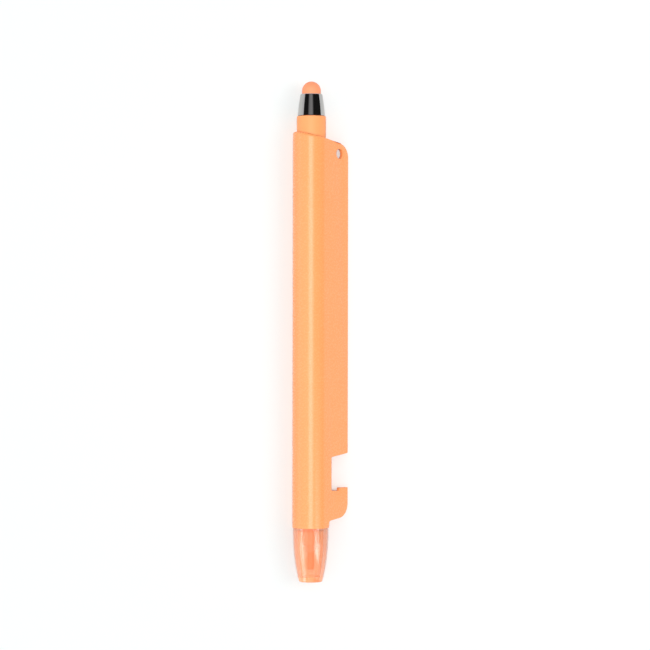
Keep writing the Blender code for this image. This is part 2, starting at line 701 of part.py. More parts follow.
def touch_core():
    disc = FERRULE_Z + BUTTON_SPIGOT
    post_top = disc + CORE_DISC + CORE_POST_HEIGHT
    low = disc - CORE_STEM_LENGTH
    disc_radius = ferrule_fit(disc + CORE_DISC)
    profile = arc((0, post_top - CORE_POST_RADIUS), CORE_POST_RADIUS, 90, 0, ROUND_ARC)
    profile[0] = (0, post_top)
    profile += [
        (CORE_POST_RADIUS, disc + CORE_DISC),
        (disc_radius, disc + CORE_DISC),
        (disc_radius, disc),
        (CORE_STEM_RADIUS, disc),
        (CORE_STEM_RADIUS, low),
        (0, low),
    ]
    turned("touch_core", profile, parts, white_plastic, COARSE)


clear_scene()
parts = new_collection("retractable_highlighter")
cutters = new_collection("cutters")

pen = bpy.data.objects.new("pen_axis", None)
parts.objects.link(pen)
pen.location = ((BARREL_RADIUS - EDGE_X) / 2, 0, BARREL_RADIUS)
pen.rotation_euler = (Matrix.Rotation(ROLL, 3, "Y") @ Matrix.Rotation(math.radians(-90), 3, "X")).to_euler()

orange = material("orange_abs", "#FFAE73", 0.35)
clear_orange = material("clear_orange_polystyrene", "#FFAE80", 0.15, alpha=0.5)
felt = material("orange_felt", "#FF8450", 0.8)
holder_plastic = material("natural_polypropylene", "#FFC9A8", 0.45)
tube_plastic = material("white_polypropylene", "#E9E7E1", 0.45)
clear_film = material("clear_film", "#F2E6DC", 0.2, alpha=0.5)
inked_fibre = material("inked_polyester_fibre", "#FF7A3C", 0.9)
white_plastic = material("white_acetal", "#EDEBE6", 0.4)
rotor_plastic = material("grey_acetal", "#B9BCBE", 0.4)
spring_steel = material("spring_steel", "#A9AAAC", 0.3, 1.0)
chrome = material("chrome_plate", "#D8D8DA", 0.08, 1.0)
coral_silicone = material("coral_silicone", "#FF8F66", 0.5)

barrel()
nose_cone()
nib()
nib_holder()
return_spring()
ink_cartridge()
click_mechanism()
push_button()
ferrule()
touch_tip()
touch_core()
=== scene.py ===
"""Looks of a retractable highlighter with a touch tip, a phone-stand fin and a clear nose."""

import math

import bpy
from mathutils import Matrix, Vector


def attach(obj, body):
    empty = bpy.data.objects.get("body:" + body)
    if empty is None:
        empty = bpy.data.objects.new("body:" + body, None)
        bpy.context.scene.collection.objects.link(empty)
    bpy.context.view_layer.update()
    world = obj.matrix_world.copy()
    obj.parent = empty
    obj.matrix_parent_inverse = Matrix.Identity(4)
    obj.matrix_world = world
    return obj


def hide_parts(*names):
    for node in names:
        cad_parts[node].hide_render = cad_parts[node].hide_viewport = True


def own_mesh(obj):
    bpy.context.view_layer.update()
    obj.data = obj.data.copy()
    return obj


MM = 0.001
SEAT_GAP = 0.3  # between two faces that rest on each other
FIT_GAP = 0.1  # radial, between a piece and the hole that it fits or slides in
SEAM_LINE = 0.05  # the fine line left open between two outer pieces
EASE = 0.1  # of a small moulded corner

# the pen upright: Z along the pen, X along the fin, the fin's front face towards -Y
TOTAL_LENGTH = 145.0
MOUTH = -TOTAL_LENGTH / 2
SEAM = MOUTH + 15.7  # the barrel's lower end, where the nose starts
TOP = SEAM + 113.55  # the barrel's slanted top, on the axis
FERRULE_BASE = TOP + 5.65
FERRULE_LENGTH = 6.4
DOME_BASE = FERRULE_BASE + FERRULE_LENGTH
TIP = DOME_BASE + 3.7

BARREL_RADIUS = 5.33
BORE_RADIUS = 4.6
TOP_SLOPE = Vector((0.188, -0.15, 1.0))  # the slanted top's normal
LIP_DEPTH = 2.6  # of the rim that keeps the push button in
FIN_REACH = 10.4
FIN_THICKNESS = 1.16
FIN_BACK = BARREL_RADIUS - FIN_THICKNESS
FIN_CORNER = 4.1
FIN_SLANT = 0.13
FIN_RIM = 0.2  # rounding of the fin's edges
SHOULDER_ROUND = 0.85  # of the round barrel's top edge
SHOULDER_EASE = 45.0  # degrees over which that rounding grows, away from the fin
FRONT_RIM_START = 2.2  # where the fin's rounded edges start, in front and behind
BACK_RIM_START = 4.2
RIM_ZONE = 3.0  # below the slanted top on the axis, within which its edges lie
FOOT = SEAM + 2.1
ROOT_X = 1.95  # where the foot curves down into the barrel
ROOT_DROP = 1.2
ROOT_ROUND = 0.7
SLOT_START = 3.1
SLOT_FLOOR = SEAM + 10.65
SLOT_OPENING = 9.75
LIP_START = 6.7
LIP_HEIGHT = 0.75
SLOT_CORNER = 0.45
EDGE_CORNER = 0.3
TRIM = 0.1  # the fin is cut this much long, and its rim's rounding takes it back
CORNER_CUT = 4.0  # how far in from the free edge the fin's top is cut square
CUT_OVER = 4.0  # how far cutters reach past what they cut
GUARD_GAP = 0.005  # keeps the fin's cutter off the round barrel
HOLE_RADIUS = 1.45
HOLE_X = 6.5
HOLE_Z = TOP - 5.05

NOSE_RADIUS = 5.17
NOSE_SHOULDER = (5.06, SEAM - 3.8)
NOSE_MOUTH = 3.5
NOSE_WALL = 1.0
NOSE_CEILING = SEAM - 0.9  # underside of the solid collar below the seam
NOSE_RING = ((0.66, 0), (0.7, 0.08), (0.82, 0.08), (0.86, 0))  # (below the seam, depth) of a fine groove
MOUTH_HOLE = 1.55
MOUTH_LIP = 1.5
LIP_FADE = (MOUTH + 1.2, MOUTH + 1.7)  # over which the thick lip's deeper tint ends
MOUTH_ROUND = 0.3
HOLE_ROUND = 0.15
SPIGOT_TOP = SEAM + 8.0

NIB_RADIUS = 0.95
NIB_ROUND = 0.45
NIB_TIP = MOUTH + 3.5
SNOUT_RADIUS = 1.4
SNOUT = NIB_TIP + 5.1
HOLDER_RADIUS = 2.4
SPIGOT_BORE = HOLDER_RADIUS + 0.4
SHOULDER = SNOUT + 2.0
VENT_TURN = 23.0  # degrees from the front towards the fin's edge
VENT_SIZE = (1.0, 0.55, 1.6)
VENT_OUT = 0.2  # of the vent's middle, from midway between the snout and the holder
SPRING_BASE = SPIGOT_TOP + SEAT_GAP
SPRING_LENGTH = 14.0
SPRING_RADIUS = 3.3
WIRE_RADIUS = 0.225
SPRING_TURNS = 8
END_TURNS = 1.25
END_PITCH = 2 * WIRE_RADIUS + 0.1
FLANGE = SPRING_BASE + SPRING_LENGTH + SEAT_GAP
FLANGE_TOP = FLANGE + 1.4
TUBE_RADIUS = 3.6
PLUG_RADIUS = 3.0  # of the nib holder's upper end, inside the ink tube
PLUG_TOP = FLANGE + 5.7
NIB_TOP = FLANGE + 11

BUTTON_RADIUS = 4.2
BUTTON_WALL = 0.9
BUTTON_BORE = 1.5  # for the core's stem
BUTTON_HEAD = 4.3  # from its lower end up to the bore
BUTTON_FLANGE = 1.2
BUTTON_FLANGE_DEPTH = 0.3
BUTTON_SPIGOT = 3
MOUTH_GAP = 0.15
FERRULE_RADII = (3.95, 3.17)
FERRULE_BULGE = 0.09
FERRULE_WALL = 0.4
FERRULE_EASE = 0.12
FERRULE_CUFF = 1.5  # depth of the hole that holds the dome's skirt
DOME_RADIUS = 2.71
DOME_WALL = 0.8
DOME_FLANGE = 0.7
DOME_FLANGE_TOP = DOME_BASE - FERRULE_CUFF - FIT_GAP
DOME_SEAT = 0.04  # radial, between the dome and the ferrule's mouth

ROUND = 192  # facets round a turned piece
HOLE_FACETS = 96
NIB_FACETS = 64
HOLDER_FACETS = 128
COIL_STEPS = 40  # along one turn of the spring
ROOM_LIGHT = 0.45
PASSING_BOUNCES = 1024  # the light's usual limit, which is no limit here

ROLL = math.asin(BARREL_RADIUS / math.hypot(FIN_REACH, FIN_BACK)) + math.atan2(FIN_BACK, FIN_REACH)
EDGE_X = FIN_REACH * math.cos(ROLL) + BARREL_RADIUS * math.sin(ROLL)
AXIS_X = (BARREL_RADIUS - EDGE_X) / 2
LYING = (
    Matrix.Translation((AXIS_X * MM, 0, BARREL_RADIUS * MM))
    @ Matrix.Rotation(ROLL, 4, "Y")
    @ Matrix.Rotation(math.radians(-90), 4, "X")
)


# ---------------------------------------------------------------- modelling

def only(obj):
    bpy.ops.object.select_all(action="DESELECT")
    obj.select_set(True)
    bpy.context.view_layer.objects.active = obj


def edit(obj, mode="VERT"):
    only(obj)
    bpy.ops.object.mode_set(mode="EDIT")
    bpy.ops.mesh.select_mode(type=mode)
    bpy.ops.mesh.select_all(action="SELECT")


def leave():
    bpy.ops.object.mode_set(mode="OBJECT")


def drawn_line(name, points):
    """A line of edges through the points, in millimetres, drawn out from one corner."""
    start = Vector(points[0]) * MM
    bpy.ops.object.select_all(action="DESELECT")
    bpy.ops.mesh.primitive_plane_add(size=MM, location=start)
    obj = bpy.context.object
    obj.name = obj.data.name = name
    bpy.ops.object.transform_apply()
    edit(obj)
    bpy.ops.mesh.merge(type="CENTER")
    for here, there in zip(points, points[1:]):
        step = (Vector(there) - Vector(here)) * MM
        bpy.ops.mesh.extrude_region_move(TRANSFORM_OT_translate={"value": step})
    bpy.ops.mesh.select_all(action="SELECT")
    return obj


def turned(name, profile, steps=ROUND):
    """A profile of (radius, height) pairs spun round the pen's axis."""
    obj = drawn_line(name, [(r, 0, z) for r, z in profile])
    bpy.ops.mesh.spin(steps=steps, angle=math.tau, center=(0, 0, 0), axis=(0, 0, 1))
    bpy.ops.mesh.select_all(action="SELECT")
    bpy.ops.mesh.remove_doubles(threshold=1e-6)
    bpy.ops.mesh.normals_make_consistent(inside=False)
    leave()
    return obj


def extruded(name, outline, step):
    """A closed outline, filled and drawn out by the step."""
    obj = drawn_line(name, outline + outline[:1])
    bpy.ops.mesh.remove_doubles(threshold=1e-7)
    bpy.ops.mesh.edge_face_add()
    bpy.ops.mesh.extrude_region_move(TRANSFORM_OT_translate={"value": Vector(step) * MM})
    bpy.ops.mesh.select_all(action="SELECT")
    bpy.ops.mesh.normals_make_consistent(inside=False)
    leave()
    return obj


def boolean(obj, cutter, operation="DIFFERENCE"):
    only(obj)
    change = obj.modifiers.new("cut", "BOOLEAN")
    change.operation = operation
    change.object = cutter
    bpy.ops.object.modifier_apply(modifier=change.name)
    bpy.data.objects.remove(cutter)


def round_edges(obj, width_at, segments=4, sharpness=30):
    """Rounds the sharp edges. width_at(middle in mm) is the rounding there in mm, or 0 for none."""
    edit(obj, "EDGE")
    bpy.ops.mesh.select_all(action="DESELECT")
    bpy.ops.mesh.edges_select_sharp(sharpness=math.radians(sharpness))
    leave()
    mesh = obj.data
    widths = []
    for edge in mesh.edges:
        ends = [mesh.vertices[i].co for i in edge.vertices]
        widths.append(width_at((ends[0] + ends[1]) / 2 / MM) if edge.select else 0.0)
    weights = mesh.attributes.new("bevel_weight_edge", "FLOAT", "EDGE")
    for weight, width in zip(weights.data, widths):
        weight.value = width / max(widths)
    change = obj.modifiers.new("rounding", "BEVEL")
    change.limit_method = "WEIGHT"
    change.width = max(widths) * MM
    change.segments = segments
    change.use_clamp_overlap = False
    bpy.ops.object.modifier_apply(modifier=change.name)


def arc(centre, radius, start, end, steps):
    """Points on an arc, in degrees from +X towards +Y."""
    points = []
    for i in range(steps + 1):
        angle = math.radians(start + (end - start) * i / steps)
        points.append((centre[0] + radius * math.cos(angle), centre[1] + radius * math.sin(angle)))
    return points


def rounded(corners, steps=10):
    """An outline with each (x, y, radius) corner filleted; a radius of 0 leaves it sharp."""
    points = []
    for i, (x, y, radius) in enumerate(corners):
        corner = Vector((x, y))
        if not radius:
            points.append((x, y))
            continue
        before = (Vector(corners[i - 1][:2]) - corner).normalized()
        after = (Vector(corners[(i + 1) % len(corners)][:2]) - corner).normalized()
        half = before.angle(after) / 2
        reach = radius / math.tan(half)
        centre = corner + (before + after).normalized() * radius / math.sin(half)
        first = corner + before * reach - centre
        last = corner + after * reach - centre
        turn = first.angle_signed(last)
        for k in range(steps + 1):
            angle = -turn * k / steps
            spoke = Matrix.Rotation(angle, 2) @ first
            points.append(tuple(centre + spoke))
    return points


def eased(profile, radius=0.12, steps=4):
    """A turned profile with every corner eased, apart from its ends."""
    corners = [(r, z, radius if 0 < i < len(profile) - 1 else 0) for i, (r, z) in enumerate(profile)]
    return rounded(corners, steps)


def finish_piece(obj, body, slot, material, *nodes, smooth=30):
    """Lays the upright piece down in its place, gives it its material, parents it to its body and hides the
    CAD nodes that it stands in for.
    """
    only(obj)
    bpy.ops.object.shade_smooth_by_angle(angle=math.radians(smooth))
    obj.matrix_world = LYING
    bpy.ops.object.transform_apply(location=True, rotation=True, scale=True)
    obj.data.materials.clear()
    obj.data.materials.append(material)
    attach(obj, body)
    if nodes:
        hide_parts(*nodes)
    return obj


# ---------------------------------------------------------------- materials

def linear(hex_colour):
    """An sRGB hex colour as linear red, green, blue and full alpha."""
    out = []
    for i in (1, 3, 5):
        value = int(hex_colour[i:i + 2], 16) / 255
        out.append(value / 12.92 if value <= 0.04045 else ((value + 0.055) / 1.055) ** 2.4)
    return out + [1.0]


def add_node(tree, kind, inputs=None, **settings):
    """Adds a node, sets it, and fills or links its inputs."""
    node = tree.nodes.new(kind)
    for name, value in settings.items():
        setattr(node, name, value)
    for name, value in (inputs or {}).items():
        if isinstance(value, bpy.types.NodeSocket):
            tree.links.new(value, node.inputs[name])
        else:
            node.inputs[name].default_value = value
    return node


def new_material(name):
    material = bpy.data.materials.new(name)
    material.use_nodes = True
    material.node_tree.nodes.clear()
    return material, material.node_tree


def surface(name, tones, roughness, grain, bump, patch=9.0, stretch=(1, 1, 1), **shader):
    """A procedural finish.

    tones are the two near colours that drift over patches (mm), roughness its lowest and highest value,
    grain the size in mm of the finest texture, bump that texture's depth in mm.
    """
    material, tree = new_material(name)
    place = add_node(tree, "ShaderNodeTexCoord").outputs["Object"]
    place = add_node(tree, "ShaderNodeMapping", {"Vector": place, "Scale": stretch}).outputs["Vector"]
    drift = add_node(tree, "ShaderNodeTexNoise", {
        "Vector": place, "Scale": 1 / (patch * MM), "Detail": 3.0, "Roughness": 0.5}).outputs["Fac"]
    fine = add_node(tree, "ShaderNodeTexNoise", {
        "Vector": place, "Scale": 1 / (grain * MM), "Detail": 2.0, "Roughness": 0.6}).outputs["Fac"]
    # the colour sockets of a Mix node come after its number and vector sockets
    colour = add_node(tree, "ShaderNodeMix", {0: drift, 6: linear(tones[0]), 7: linear(tones[1])},
                      data_type="RGBA")
    gloss = add_node(tree, "ShaderNodeMapRange", {
        "Value": fine, "From Min": 0.3, "From Max": 0.7,
        "To Min": roughness[0], "To Max": roughness[1]}).outputs["Result"]
    relief = add_node(tree, "ShaderNodeBump", {
        "Height": fine, "Strength": 1.0, "Distance": bump * MM}).outputs["Normal"]
    inputs = {"Base Color": colour.outputs[2], "Roughness": gloss, "Normal": relief}
    inputs.update(shader)
    principled = add_node(tree, "ShaderNodeBsdfPrincipled", inputs)
    add_node(tree, "ShaderNodeOutputMaterial", {"Surface": principled.outputs["BSDF"]})
    return material


def deepen_tint(material, facing, glancing, lip):
    """Opacity that rises from facing to glancing angles, and by the lip's share round the nose's mouth."""
    tree = material.node_tree
    angle = add_node(tree, "ShaderNodeLayerWeight", {"Blend": 0.5}).outputs["Facing"]
    through = add_node(tree, "ShaderNodeMapRange", {
        "Value": angle, "To Min": facing, "To Max": glancing}).outputs["Result"]
    place = add_node(tree, "ShaderNodeTexCoord").outputs["Object"]
    along = add_node(tree, "ShaderNodeSeparateXYZ", {"Vector": place}).outputs["Y"]
    thick = add_node(tree, "ShaderNodeMapRange", {
        "Value": along, "From Min": LIP_FADE[0] * MM, "From Max": LIP_FADE[1] * MM,
        "To Min": lip, "To Max": 0.0}).outputs["Result"]
    opacity = add_node(tree, "ShaderNodeMath", {0: through, 1: thick}, operation="ADD").outputs["Value"]
    shader = next(node for node in tree.nodes if node.bl_idname == "ShaderNodeBsdfPrincipled")
    tree.links.new(opacity, shader.inputs["Alpha"])


# ABS, injection moulded in a finely textured mould: even orange, satin, with a soft highlight.
satin_abs = surface("satin_moulded_abs", ("#FF9C5D", "#FF9F61"), (0.25, 0.29), 0.5, 0.0002, IOR=1.53)

# The same ABS from a spark-eroded mould: matt, with a highlight too broad to see as one.
matt_abs = surface("matt_moulded_abs", ("#FF9E5E", "#FFA162"), (0.52, 0.58), 0.4, 0.0004, IOR=1.53)

# Clear polystyrene with an orange tint, moulded and unpainted: glossy, and tinted where light passes
# through, more so at a glancing angle and in the thick lip, where it passes through more of it.
tinted_polystyrene = surface(
    "clear_tinted_polystyrene", ("#FF9F6B", "#FFA672"), (0.06, 0.1), 0.8, 0.0002, IOR=1.59,
    **{"Coat Weight": 1.0, "Coat Roughness": 0.03, "Coat IOR": 1.59})
deepen_tint(tinted_polystyrene, facing=0.32, glancing=0.7, lip=0.35)

# Silicone rubber, moulded: matt and slightly soft, with no sharp highlight.
moulded_silicone = surface(
    "moulded_silicone_rubber", ("#FF976A", "#FF9C6F"), (0.5, 0.6), 0.25, 0.002, IOR=1.43)

# Chromium plated on plastic: a mirror, faintly uneven from the moulding below it.
chrome_plate = surface(
    "chromium_plate", ("#B7B4B2", "#BBB8B6"), (0.05, 0.07), 1.5, 0.0001, Metallic=1.0)

# Spring wire, drawn: bright steel with fine scores along it.
drawn_steel = surface("drawn_spring_steel", ("#9EA0A3", "#ABADB0"), (0.22, 0.34), 0.12, 0.001, Metallic=1.0)

# Polyester felt soaked in ink: dull, saturated, with its fibres along the nib.
inked_felt = surface(
    "inked_polyester_felt", ("#FF4A10", "#FF5418"), (0.8, 0.9), 0.12, 0.02, stretch=(1, 0.3, 1))

# Natural polypropylene, moulded, stained by the ink: waxy and a little translucent.
stained_polypropylene = surface(
    "ink_stained_polypropylene", ("#FF5C34", "#FF643C"), (0.4, 0.5), 0.4, 0.001, IOR=1.49)

# White polypropylene, extruded or moulded: waxy off-white.
white_polypropylene = surface("white_polypropylene", ("#E4E2DC", "#EAE8E2"), (0.4, 0.5), 0.5, 0.001, IOR=1.49)

# Clear wrapping film: thin, glossy, barely coloured.
clear_film = surface(
    "clear_wrapping_film", ("#F2E6DC", "#F6ECE4"), (0.12, 0.2), 0.6, 0.0006, IOR=1.5,
    **{"Transmission Weight": 0.8})

# Polyester fibre rod soaked in ink: a dull orange bundle of strands along the pen.
inked_fibre = surface(
    "inked_polyester_fibre", ("#FF7434", "#FF8142"), (0.85, 0.95), 0.15, 0.02, stretch=(1, 0.1, 1))

# Acetal, moulded: smooth, slightly waxy off-white, and the same in grey for the rotor.
white_acetal = surface("white_acetal", ("#E9E7E2", "#EFEDE8"), (0.3, 0.38), 0.5, 0.0008, IOR=1.48)
grey_acetal = surface("grey_acetal", ("#B2B5B8", "#B9BCBE"), (0.3, 0.38), 0.5, 0.0008, IOR=1.48)


# ---------------------------------------------------------------- pieces

def fin_waste():
    """What is cut away round the fin: below its foot, in the slot and beyond its top corner."""
    edge = FIN_REACH + TRIM
    rise = FIN_SLANT * (edge - SLOT_START)
    root = FOOT - FIN_SLANT * (SLOT_START - ROOT_X)
    ceiling = SLOT_FLOOR + SLOT_OPENING
    top_edge = TOP - TOP_SLOPE.x * edge + TOP_SLOPE.y * BARREL_RADIUS
    far, low, high = edge + CUT_OVER, SEAM - CUT_OVER, TOP + CUT_OVER
    inside = TRIM
    corners = [
        (inside, low, 0),
        (inside, root - ROOT_DROP, 0),
        (ROOT_X, root - ROOT_DROP, 0),
        (ROOT_X, root, ROOT_ROUND),
        (BACK_RIM_START, FOOT + FIN_SLANT * (BACK_RIM_START - SLOT_START), 0),
        (edge, FOOT + rise, FIN_CORNER),
        (edge, SLOT_FLOOR + LIP_HEIGHT, EDGE_CORNER),
        (LIP_START, SLOT_FLOOR + LIP_HEIGHT, EDGE_CORNER),
        (LIP_START, SLOT_FLOOR, EDGE_CORNER),
        (BACK_RIM_START, SLOT_FLOOR, 0),
        (SLOT_START, SLOT_FLOOR, SLOT_CORNER),
        (SLOT_START, ceiling, SLOT_CORNER),
        (BACK_RIM_START, ceiling + FIN_SLANT * (BACK_RIM_START - SLOT_START), 0),
        (edge, ceiling + rise, EDGE_CORNER),
        (edge, top_edge, FIN_CORNER),
        (edge - CORNER_CUT, top_edge + CORNER_CUT * TOP_SLOPE.x, 0),
        (edge - CORNER_CUT, high, 0),
        (far, high, 0),
        (far, low, 0),
    ]
    return rounded(corners)


def make_barrel():
    right = math.degrees(math.acos(FIN_BACK / BARREL_RADIUS))
    count = round(ROUND * (360 - right) / 360)
    section = []
    for i in range(count + 1):
        angle = math.radians(-(360 - right) * i / count)
        section.append((BARREL_RADIUS * math.sin(angle), -BARREL_RADIUS * math.cos(angle), SEAM))
    past = FIN_REACH + CUT_OVER / 4
    section += [(past, -FIN_BACK, SEAM), (past, -BARREL_RADIUS, SEAM)]
    barrel = extruded("barrel_shell", section, (0, 0, TOP - SEAM + CUT_OVER))
    edit(barrel, "FACE")
    bpy.ops.mesh.bisect(
        plane_co=(0, 0, TOP * MM), plane_no=TOP_SLOPE.normalized(), use_fill=True, clear_outer=True)
    leave()

    front = -BARREL_RADIUS - CUT_OVER / 4
    waste = extruded("fin_waste", [(x, front, z) for x, z in fin_waste()], (0, CUT_OVER, 0))
    guard, above, below = BARREL_RADIUS + GUARD_GAP, TOP + 2 * CUT_OVER, SEAM - 2 * CUT_OVER
    tube = turned("tube_guard", [(0, above), (guard, above), (guard, below), (0, below)])
    boolean(waste, tube)
    boolean(barrel, waste)

    bpy.ops.object.select_all(action="DESELECT")
    bpy.ops.mesh.primitive_cylinder_add(
        vertices=HOLE_FACETS, radius=HOLE_RADIUS * MM, depth=CUT_OVER * MM,
        location=(HOLE_X * MM, -BARREL_RADIUS * MM, HOLE_Z * MM), rotation=(math.radians(90), 0, 0))
    boolean(barrel, bpy.context.object)

    def rim_width(point):
        """A small rounding on the fin that grows to the barrel's full shoulder away from it."""
        near_top = point.z > TOP - RIM_ZONE
        if math.hypot(point.x, point.y) > BARREL_RADIUS + TRIM:
            start = FRONT_RIM_START if point.y < -BARREL_RADIUS + TRIM else BACK_RIM_START
            on_top = near_top and point.x < FIN_REACH - FIN_CORNER
            return FIN_RIM if point.x > start or on_top else 0.0
        if not near_top:
            return 0.0
        angle = math.degrees(math.atan2(-point.x, -point.y)) % 360
        away = min(angle, 360 - right - angle)
        share = min(1.0, max(0.0, away / SHOULDER_EASE))
        share = share * share * (3 - 2 * share)
        return FIN_RIM + share * (SHOULDER_ROUND - FIN_RIM)
    round_edges(barrel, rim_width)

    opening = BUTTON_RADIUS + MOUTH_GAP
    lip = TOP - LIP_DEPTH
    above, below = TOP + CUT_OVER, SEAM - CUT_OVER
    bore = turned("bore", [
        (0, above), (opening, above), (opening, lip), (BORE_RADIUS, lip), (BORE_RADIUS, below), (0, below)])
    boolean(barrel, bore)
    return finish_piece(barrel, "barrel", "orange_abs", satin_abs, "barrel")


def nose_outside(steps=28):
    """The nose's outside: a slight taper with a fine ring, then an arc that carries it on to the mouth."""
    seam = (NOSE_RADIUS, SEAM - SEAM_LINE)
    shoulder = Vector(NOSE_SHOULDER)
    mouth = Vector((NOSE_MOUTH, MOUTH + MOUTH_ROUND))
    taper = math.atan2(NOSE_RADIUS - shoulder.x, SEAM - shoulder.y)
    inward = Vector((-math.cos(taper), math.sin(taper)))
    chord = mouth - shoulder
    radius = chord.length_squared / (2 * chord.dot(inward))
    end = 2 * math.atan2(-chord.x, -chord.y) - taper
    centre = shoulder + inward * radius
    ring = [(NOSE_RADIUS - drop * math.tan(taper) - depth, SEAM - drop) for drop, depth in NOSE_RING]
    return [seam] + ring + arc(centre, radius, -math.degrees(taper), -math.degrees(end), steps)


def make_nose():
    outside = nose_outside()
    outside += arc((NOSE_MOUTH - MOUTH_ROUND, MOUTH + MOUTH_ROUND), MOUTH_ROUND, 0, -90, 6)[1:]
    lip_top = MOUTH + MOUTH_LIP
    inside = [(r - NOSE_WALL, z) for r, z in reversed(outside) if lip_top < z < NOSE_CEILING]
    spigot = BORE_RADIUS - FIT_GAP
    profile = [(spigot, SPIGOT_TOP), (spigot, SEAM - SEAM_LINE)] + outside
    profile += arc((MOUTH_HOLE + HOLE_ROUND, MOUTH + HOLE_ROUND), HOLE_ROUND, -90, -180, 4)
    profile += [(MOUTH_HOLE, lip_top), (inside[0][0], lip_top)] + inside
    profile += [(inside[-1][0], NOSE_CEILING), (SPIGOT_BORE, NOSE_CEILING)]
    profile += [(SPIGOT_BORE, SPIGOT_TOP), (spigot, SPIGOT_TOP)]
    return finish_piece(turned("nose_clear", profile), "barrel", "clear_orange_ps",
                        tinted_polystyrene, "nose_cone")


def make_nib():
    tip = arc((NIB_RADIUS - NIB_ROUND, NIB_TIP + NIB_ROUND), NIB_ROUND, 0, -70, 6)
    profile = [(0, NIB_TOP), (NIB_RADIUS, NIB_TOP)] + tip + [(0, NIB_TIP)]
    nib = turned("nib_felt", profile, NIB_FACETS)
    return finish_piece(nib, "cartridge", "orange_felt", inked_felt, "nib")


def make_holder():
    hole = NIB_RADIUS + FIT_GAP
    profile = eased([
        (PLUG_RADIUS, PLUG_TOP), (PLUG_RADIUS, FLANGE_TOP), (TUBE_RADIUS, FLANGE_TOP), (TUBE_RADIUS, FLANGE),
        (HOLDER_RADIUS, FLANGE), (HOLDER_RADIUS, SHOULDER), (SNOUT_RADIUS, SHOULDER),
        (SNOUT_RADIUS, SNOUT), (hole, SNOUT)])
    profile += [(hole, PLUG_TOP), (PLUG_RADIUS, PLUG_TOP)]
    holder = turned("nib_sleeve", profile, HOLDER_FACETS)
    turn = math.radians(VENT_TURN - 90)
    middle = (HOLDER_RADIUS + SNOUT_RADIUS) / 2 + VENT_OUT
    bpy.ops.object.select_all(action="DESELECT")
    bpy.ops.mesh.primitive_cube_add(
        size=MM, location=(middle * MM * math.cos(turn), middle * MM * math.sin(turn), SHOULDER * MM),
        rotation=(0, 0, turn), scale=VENT_SIZE)
    boolean(holder, bpy.context.object)
    return finish_piece(holder, "cartridge", "tinted_pp", stained_polypropylene, "nib_holder")


def make_spring():
    """The return spring: a round wire spun down its whole height, with close-wound ends."""
    bpy.ops.object.select_all(action="DESELECT")
    bpy.ops.mesh.primitive_circle_add(
        vertices=16, radius=WIRE_RADIUS * MM, fill_type="NGON",
        location=(SPRING_RADIUS * MM, 0, (SPRING_BASE + WIRE_RADIUS) * MM), rotation=(math.radians(90), 0, 0))
    spring = bpy.context.object
    spring.name = spring.data.name = "spring_coil"
    bpy.ops.object.transform_apply()
    edit(spring, "FACE")
    close = END_TURNS * END_PITCH
    free = SPRING_LENGTH - 2 * WIRE_RADIUS - 2 * close
    for turns, rise in ((END_TURNS, close), (SPRING_TURNS, free), (END_TURNS, close)):
        count = round(turns * COIL_STEPS)
        for _ in range(count):
            bpy.ops.mesh.extrude_region_move(
                TRANSFORM_OT_translate={"value": (0, 0, rise * MM / count)})
            bpy.ops.transform.rotate(
                value=-math.tau * turns / count, orient_axis="Z", center_override=(0, 0, 0))
    bpy.ops.mesh.select_all(action="SELECT")
    bpy.ops.mesh.normals_make_consistent(inside=False)
    leave()
    finish_piece(spring, "barrel", "spring_steel", drawn_steel, "return_spring")
    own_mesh(spring)
    return spring


def ferrule_radius(z):
    """The ferrule's outer radius at a height: a cone, slightly bulged."""
    share = (DOME_BASE - z) / FERRULE_LENGTH
    base, top = FERRULE_RADII
    return top + share * (base - top) + FERRULE_BULGE * 4 * share * (1 - share)


def make_button():
    flange_top = TOP - LIP_DEPTH - SEAT_GAP
    base = flange_top - BUTTON_FLANGE
    flange = BUTTON_RADIUS + BUTTON_FLANGE_DEPTH
    wall = BUTTON_RADIUS - BUTTON_WALL
    top = FERRULE_BASE - SEAM_LINE
    end = top + BUTTON_SPIGOT
    spigot = ferrule_radius(end) - FERRULE_WALL - FIT_GAP
    head = base + BUTTON_HEAD
    profile = eased([
        (spigot, end), (spigot, top), (BUTTON_RADIUS, top), (BUTTON_RADIUS, flange_top),
        (flange, flange_top), (flange, base), (wall, base)], EASE)
    profile += [(wall, head), (BUTTON_BORE, head), (BUTTON_BORE, end), (spigot, end)]
    return finish_piece(turned("button_tube", profile), "button", "orange_abs", matt_abs, "push_button")


def make_ferrule():
    steps = 16
    length = FERRULE_LENGTH - 2 * FERRULE_EASE
    levels = [DOME_BASE - FERRULE_EASE - length * i / steps for i in range(steps + 1)]
    cuff = DOME_BASE - FERRULE_CUFF
    mouth = DOME_RADIUS + DOME_SEAT
    outside = [(ferrule_radius(z), z) for z in levels]
    inside = [(r - FERRULE_WALL, z) for r, z in reversed(outside) if z < cuff]
    profile = [(ferrule_radius(DOME_BASE) - FERRULE_EASE, DOME_BASE)] + outside
    profile += [(outside[-1][0] - EASE, FERRULE_BASE), (inside[0][0], FERRULE_BASE)] + inside
    profile += [(inside[-1][0], cuff), (mouth, cuff), (mouth, DOME_BASE - EASE),
                (DOME_RADIUS + FERRULE_EASE, DOME_BASE)]
    profile.append(profile[0])
    return finish_piece(turned("ferrule_chrome", profile), "button", "chrome_plate", chrome_plate, "ferrule")


